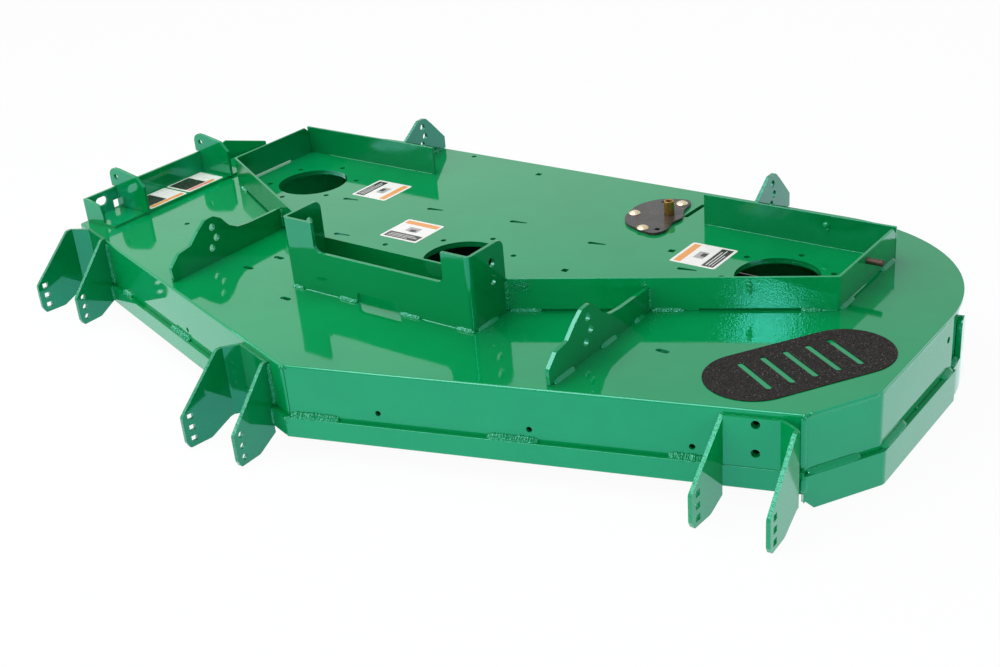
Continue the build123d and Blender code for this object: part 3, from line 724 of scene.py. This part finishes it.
def layDrop(skin, place, out, radius):
    across = out.orthogonal().normalized()
    along = out.cross(across)
    rings = []
    for wide, high in drop["rings"]:
        ring = []
        for i in range(drop["sides"]):
            turn = 2 * math.pi * i / drop["sides"]
            flat = across * (math.cos(turn) * wide) + along * (math.sin(turn) * wide)
            ring.append(skin.verts.new((place + (flat + out * high) * radius) * mm))
        rings.append(ring)
    top = skin.verts.new((place + out * (drop["top"] * radius)) * mm)
    for i in range(drop["sides"]):
        k = (i + 1) % drop["sides"]
        for low, high in zip(rings, rings[1:]):
            skin.faces.new((low[i], low[k], high[k], high[i]))
        skin.faces.new((rings[-1][i], rings[-1][k], top))
    skin.faces.new(list(reversed(rings[0])))


def layDrops(skin, middle, spreadA, spreadB, count, small, large, seed):
    # Drops scattered on a flat face around its middle
    dice = random.Random(seed)
    out = spreadA.cross(spreadB).normalized()
    for _ in range(count):
        a, b = dice.gauss(0, drop["spread"]), dice.gauss(0, drop["spread"])
        radius = small + (large - small) * dice.random() ** 2
        if abs(a) < 1 and abs(b) < 1:
            layDrop(skin, middle + spreadA * a + spreadB * b, out, radius)


def finishPiece(name, skin, material):
    bmesh.ops.recalc_face_normals(skin, faces=skin.faces)
    mesh = bpy.data.meshes.new(name)
    skin.to_mesh(mesh)
    skin.free()
    for face in mesh.polygons:
        face.use_smooth = True
    mesh.materials.append(material)
    piece = bpy.data.objects.new(name, mesh)
    bpy.context.scene.collection.objects.link(piece)
    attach(piece, "root")
    print("piece:", name, len(mesh.polygons), "faces")


bandWelds = {
    "leg": 7.4,
    "smoothLeg": 7.6,
    "front": ((-600, -564), (-398, -329), (4, 80), (301, 374), (551, 599)),   # x along the front
    "facet": ((725, -205.5), (768, -132.5)),
    "side": ((-101, -23), (117, 153)),         # y along the right side
    "rear": ((2.5, 9), (30, 44), (62, 76)),    # degrees round an end, the first on the right only
    "rearSteps": 12,
    "rearRuns": (-420, -210, 0, 210, 420),     # x along the rear
    "rearLength": 70,
    "seeds": (0, 11, 20, 30, 50),              # front, facet, side, rear, rear runs
    "sideSeed": 5,
}


def weldBands():
    skin, smooth = bmesh.new(), bmesh.new()
    leg, smoothLeg = bandWelds["leg"], bandWelds["smoothLeg"]
    frontSeed, facetSeed, sideSeed, rearSeed, runSeed = bandWelds["seeds"]
    z = deck["frontBandZ"]
    for i, (a, b) in enumerate(bandWelds["front"]):
        filletBead(skin, [onFront(a, z), onFront(b, z)], outward(a), up, leg, frontSeed + i)
    z = deck["sideBandZ"]
    a, b = [Vector((*p, z)) for p in bandWelds["facet"]]
    run = (b - a).normalized()
    filletBead(smooth, [a, b], Vector((run.y, -run.x, 0)), up, smoothLeg, facetSeed, faint)
    for i, (a, b) in enumerate(bandWelds["side"]):
        run = alongY(deck["sideX"], a, b, z)
        filletBead(smooth, run, right, up, smoothLeg, sideSeed + i, faint)
    steps = bandWelds["rearSteps"]
    for i, (a, b) in enumerate(bandWelds["rear"]):
        middle = math.radians((a + b) / 2)
        for side in (1, -1) if i else (1,):
            out = Vector((side * math.cos(middle), math.sin(middle), 0))
            points = []
            for k in range(steps + 1):
                turn = math.radians(a + (b - a) * k / steps)
                x = deck["endX"] + deck["skirtR"] * math.cos(turn)
                y = deck["endY"] + deck["skirtR"] * math.sin(turn)
                points.append(Vector((side * x, y, z)))
            filletBead(skin, points, out, up, leg, rearSeed + i + bandWelds["sideSeed"] * side)
    y = deck["endY"] + deck["skirtR"]
    half = bandWelds["rearLength"] / 2
    for i, x in enumerate(bandWelds["rearRuns"]):
        filletBead(skin, alongX(x - half, x + half, y, z), rearward, up, leg, runSeed + i)
    finishPiece("band_welds", skin, weldEnamel)
    finishPiece("band_smooth_welds", smooth, deckEnamel)


shellWelds = {
    "apex": (-5.0, -82.0),             # from z, to z of the seam at the front's middle
    "apexSize": (7.0, 1.7),            # width and height, as in the sizes below
    "seamSize": (6.0, 0.9),            # filled seam between plate and side sheets
    "facetEnds": (2, 4),               # what it leaves free at its ends
    "sideEnds": (4, 14),
    "brackets": ((-40.7, -13.0, -83.0), (-642.7, -3.0, -83.0)),   # x, from z, to z of ear roots
    "bracketLeg": 5.4,
    "bracketStep": 2,
    "bracketLow": -114.0,
    "cornerSize": (9.0, 1.5),
    "lowCorner": (726.5, -216.6),
    "lowSize": (11.0, 2.4),
    "lowReach": -26.0,
    "seeds": (300, 310, 311, 320, 330, 340, 341),   # in the order of the code
    "blobs": ((-2, -437.2, -3, 2.6), (3, -436.6, -2, 3.2), (6, -435.6, -4.5, 2.4),
              (-1, -445, -86, 3.0), (5, -443, -84, 2.6), (1, -445, -93, 2.2),
              (722.5, -209.8, -1.5, 3.6), (728.5, -200, -1.5, 4.2), (726, -204, -4, 3.0),
              (733, -195, -86, 3.2), (729, -202, -89, 2.6), (733.5, -196, -91, 2.2),
              (785.5, -99, -88, 2.6), (786, 20, -88, 2.2)),   # place and radius
}


def weldShell():
    skin, smooth = bmesh.new(), bmesh.new()
    apexSeed, facetSeed, sideSeed, rootSeed, bandSeed, cornerSeed, lowSeed = shellWelds["seeds"]
    top, low = shellWelds["apex"]
    seam = [Vector((0, deck["apexY"], z)) for z in (top, (top + low) / 2, low)]
    seamBead(smooth, seam, right, -rearward, *shellWelds["apexSize"], apexSeed, faint)
    z = -deck["plateT"]
    corner = Vector((deck["cornerX"], frontY(deck["cornerX"]), z))
    turn = Vector((deck["sideX"], deck["facetBackY"], z))
    run = (turn - corner).normalized()
    facetOut = Vector((run.y, -run.x, 0))
    start, end = shellWelds["facetEnds"]
    seamBead(smooth, [corner + run * start, turn - run * end], up, facetOut,
             *shellWelds["seamSize"], facetSeed, even)
    start, end = shellWelds["sideEnds"]
    seam = alongY(deck["sideX"], deck["facetBackY"] + start, deck["endY"] - end, z)
    seamBead(smooth, seam, up, right, *shellWelds["seamSize"], sideSeed, even)
    leg, proud = shellWelds["bracketLeg"], deck["bandT"]
    for i, (x, high, low) in enumerate(shellWelds["brackets"]):
        slope = math.copysign(math.sin(deck["sweep"]), x)
        beside = Vector((math.cos(deck["sweep"]), slope, 0))
        root = [onFront(x, high), onFront(x, low)]
        filletBead(skin, root, beside, -rearward, leg, rootSeed + i)
        root = [onFront(x, low - shellWelds["bracketStep"], proud),
                onFront(x, shellWelds["bracketLow"], proud)]
        filletBead(skin, root, beside, -rearward, leg, bandSeed + i, calm)
    out = (outward(1.0) + facetOut).normalized()
    beside = Vector((-out.y, out.x, 0))
    seamBead(smooth, [corner, corner + up * (deck["frontBandZ"] - corner.z)], beside, out,
             *shellWelds["cornerSize"], cornerSeed, even)
    low = Vector((*shellWelds["lowCorner"], deck["sideBandZ"]))
    seamBead(smooth, [low, low + up * shellWelds["lowReach"]], beside, out,
             *shellWelds["lowSize"], lowSeed, even)
    for x, y, z, radius in shellWelds["blobs"]:
        layDrop(skin, Vector((x, y, z)), (outward(x) + up).normalized(), radius)
    finishPiece("shell_welds", skin, weldEnamel)
    finishPiece("shell_seams", smooth, deckEnamel)


fenceWelds = {
    "leg": 5.0,
    "insideLeg": 4.0,
    "smoothLeg": 6.0,
    "thin": 1.2,
    "hair": 0.45,
    "diagonal": ((197, 240), (389, 434), (586, 612)),     # x along the diagonal run
    "diagonalEnds": (6, 8),                               # what the bead inside leaves free
    "thinEnd": 3,
    "smoothEnd": ((95, 140), (246, 296)),                 # y along the end run
    "hairEnds": (8, 5),
    "rear": ((-620, -585), (-470, -430), (-335, -304),
             (300, 335), (440, 480), (590, 622)),         # x, behind
    "rearInside": ((-629, -304), (297, 629)),
    "middle": ((-186, -140), (140, 186)),
    "seeds": (80, 83, 60, 70, 100, 130, 140, 150),        # in the order of the code
    "sideSeed": 7,
}


def weldFences():
    skin, smooth = bmesh.new(), bmesh.new()
    leg, thin, hair = fenceWelds["leg"], fenceWelds["thin"], fenceWelds["hair"]
    (insideSeed, hairSeed, diagonalSeed, thinSeed,
     endSeed, rearHairSeed, rearSeed, middleSeed) = fenceWelds["seeds"]
    for side in (-1, 1):
        out = fenceOut(side)
        sideSeed = fenceWelds["sideSeed"] * side
        start, end = fenceWelds["diagonalEnds"]
        inside = [onFence(side * x) - out * deck["fenceT"]
                  for x in (deck["fenceMidX"] + start, deck["fenceX"] - end)]
        filletBead(skin, inside, -out, up, fenceWelds["insideLeg"], insideSeed + side, calm)
        start, end = fenceWelds["hairEnds"]
        inside = alongY(side * (deck["fenceX"] - deck["fenceT"]),
                        deck["fenceCornerY"] + start, deck["fenceRearY"] - end)
        filletBead(smooth, inside, right * -side, up, hair, hairSeed + side, even)
        for i, (a, b) in enumerate(fenceWelds["diagonal"]):
            run = [onFence(side * a), onFence(side * b)]
            filletBead(skin, run, out, up, leg, diagonalSeed + i + sideSeed)
        last = fenceWelds["diagonal"][-1][1]
        ends = [onFence(side * x) for x in (last, deck["fenceX"] - fenceWelds["thinEnd"])]
        filletBead(smooth, ends, out, up, thin, thinSeed + side, even)
        for i, (a, b) in enumerate(fenceWelds["smoothEnd"]):
            run = alongY(side * deck["fenceX"], a, b)
            filletBead(smooth, run, right * side, up, fenceWelds["smoothLeg"],
                       endSeed + i + sideSeed, faint)
    y = deck["fenceRearY"]
    for i, (a, b) in enumerate(fenceWelds["rearInside"]):
        filletBead(smooth, alongX(a, b, y), -rearward, up, hair, rearHairSeed + i, even)
    y = deck["fenceRearY"] + deck["fenceT"]
    for i, (a, b) in enumerate(fenceWelds["rear"]):
        filletBead(skin, alongX(a, b, y), rearward, up, leg, rearSeed + i)
    y = deck["fenceMidY"] + deck["fenceT"]
    for i, (a, b) in enumerate(fenceWelds["middle"]):
        filletBead(skin, alongX(a, b, y), rearward, up, leg, middleSeed + i)
    finishPiece("fence_welds", skin, weldEnamel)
    finishPiece("fence_smooth_welds", smooth, deckEnamel)


towerWelds = {
    "leg": 5.0,
    "smoothLeg": 6.0,
    "thin": 0.9,
    "front": ((-183, -158), (-80, -41), (47, 89), (160, 194)),   # x along the foot
    "openGap": 1,              # the second gap is the open window in the foot
    "side": (-212, -160),
    "cornerGap": 0.2,
    "cornerEnds": (3, 4),      # above the plate, below the fence's edge
    "seeds": (160, 165, 170, 180),
}


def weldTower():
    skin, smooth = bmesh.new(), bmesh.new()
    leg, front = towerWelds["leg"], towerWelds["front"]
    frontSeed, thinSeed, sideSeed, cornerSeed = towerWelds["seeds"]
    y = deck["towerFrontY"]
    for i, (a, b) in enumerate(front):
        filletBead(skin, alongX(a, b, y), -rearward, up, leg, frontSeed + i)
    for i, (before, after) in enumerate(zip(front, front[1:])):
        if i != towerWelds["openGap"]:
            run = alongX(before[1], after[0], y)
            filletBead(smooth, run, -rearward, up, towerWelds["thin"], thinSeed + i, even)
    low, high = towerWelds["cornerEnds"]
    for side, x in ((-1, deck["towerLeft"]), (1, deck["towerRight"])):
        filletBead(smooth, alongY(x, *towerWelds["side"]), right * side, up,
                   towerWelds["smoothLeg"], sideSeed + side, faint)
        out = fenceOut(side)
        corner = Vector((x, deck["fenceMidY"] - towerWelds["cornerGap"], 0))
        filletBead(skin, [corner + up * low, corner + up * (deck["fenceHeight"] - high)],
                   -rearward, Vector((side * abs(out.y), abs(out.x), 0)), leg, cornerSeed + side)
    finishPiece("tower_welds", skin, weldEnamel)
    finishPiece("tower_smooth_welds", smooth, deckEnamel)


liftWelds = {
    "leg": 6.2,
    "foot": ((-294, -243), (-173, -130), (-81, -54)),   # y along the plate's foot
    "bareFace": (-1, 1),       # side and face: the left plate has no welds on its inner face
    "rootLeg": 3.4,
    "rootEnds": (2, 1),        # above the plate, below the top of the lift plate's rear edge
    "ear": ((318, 350), (392, 424)),
    "seeds": (200, 230, 250),  # foot, root, ear
    "sideSeed": 10,
    "faceSeed": 3,
}


def weldLifts():
    skin, smooth = bmesh.new(), bmesh.new()
    leg = liftWelds["leg"]
    footSeed, rootSeed, earSeed = liftWelds["seeds"]
    low, high = liftWelds["rootEnds"]
    for side in (-1, 1):
        for face in (-1, 1):
            x = side * deck["liftX"] + face * deck["liftHalf"]
            away = right * face
            seed = liftWelds["sideSeed"] * side + liftWelds["faceSeed"] * face
            if (side, face) != liftWelds["bareFace"]:
                for i, (a, b) in enumerate(liftWelds["foot"]):
                    run = alongY(x, a, b)
                    filletBead(smooth, run, away, up, leg, footSeed + i + seed, faint)
            root = onFence(x)
            out = fenceOut(side)
            along = Vector((face * abs(out.y), side * face * abs(out.x), 0))
            filletBead(skin, [root + up * low, root + up * (deck["liftRearHeight"] - high)],
                       -rearward, along, liftWelds["rootLeg"], rootSeed + seed)
            for i, (a, b) in enumerate(liftWelds["ear"]):
                filletBead(skin, alongY(x, a, b), away, up, leg, earSeed + i + seed)
    finishPiece("lift_plate_welds", skin, weldEnamel)
    finishPiece("lift_plate_smooth_welds", smooth, deckEnamel)


# Drops thrown by the welding: on the fence beside the tower, round the lift plate's end and on
# the plate, and larger ones in a row down the fences
spatter = {
    "patches": ((214.0, 43.0, 15.0, 10.0, 190, 0.8, 2.0),   # x, z, spread along, up, count, sizes
                (202.0, 24.0, 5.0, 20.0, 70, 0.7, 1.5),
                (381.0, 43.0, 9.0, 4.0, 9, 0.9, 1.9)),
    "fenceRow": ((519.0, 48.0, 3.6), (519.5, 42.0, 5.4), (520.0, 35.0, 4.6),
                 (521.0, 29.0, 2.4), (523.0, 23.0, 1.8)),   # x, z, radius
    "rearRow": ((518.0, 37.0, 6.2), (521.0, 30.0, 3.4)),
    "plate": ((210.0, -190.0, 10.0, 40.0, 26), (412.0, -70.0, 8.0, 34.0, 14),
              (-450.0, 270.0, 60.0, 20.0, 16), (250.0, -240.0, 20.0, 12.0, 6),
              (-390.0, 60.0, 30.0, 30.0, 8)),               # x, y, spreads, count
    "plateSizes": (0.5, 1.4),
    "seeds": (40, 60),                                      # patches, plate
}


def throwSpatter():
    skin = bmesh.new()
    out = fenceOut(1)
    along = Vector((-out.y, out.x, 0))
    patchSeed, plateSeed = spatter["seeds"]
    for x, z, radius in spatter["fenceRow"]:
        layDrop(skin, onFence(x) + up * z, out, radius)
    for x, z, radius in spatter["rearRow"]:
        layDrop(skin, Vector((x, deck["fenceRearY"], z)), -rearward, radius)
    for i, (x, z, wide, high, count, small, large) in enumerate(spatter["patches"]):
        layDrops(skin, onFence(x) + up * z, along * wide, up * high,
                 count, small, large, patchSeed + i)
    for i, (x, y, wide, deep, count) in enumerate(spatter["plate"]):
        layDrops(skin, Vector((x, y, 0)), right * wide, rearward * deep,
                 count, *spatter["plateSizes"], plateSeed + i)
    finishPiece("weld_spatter", skin, weldEnamel)


weldBands()
weldShell()
weldFences()
weldTower()
weldLifts()
throwSpatter()
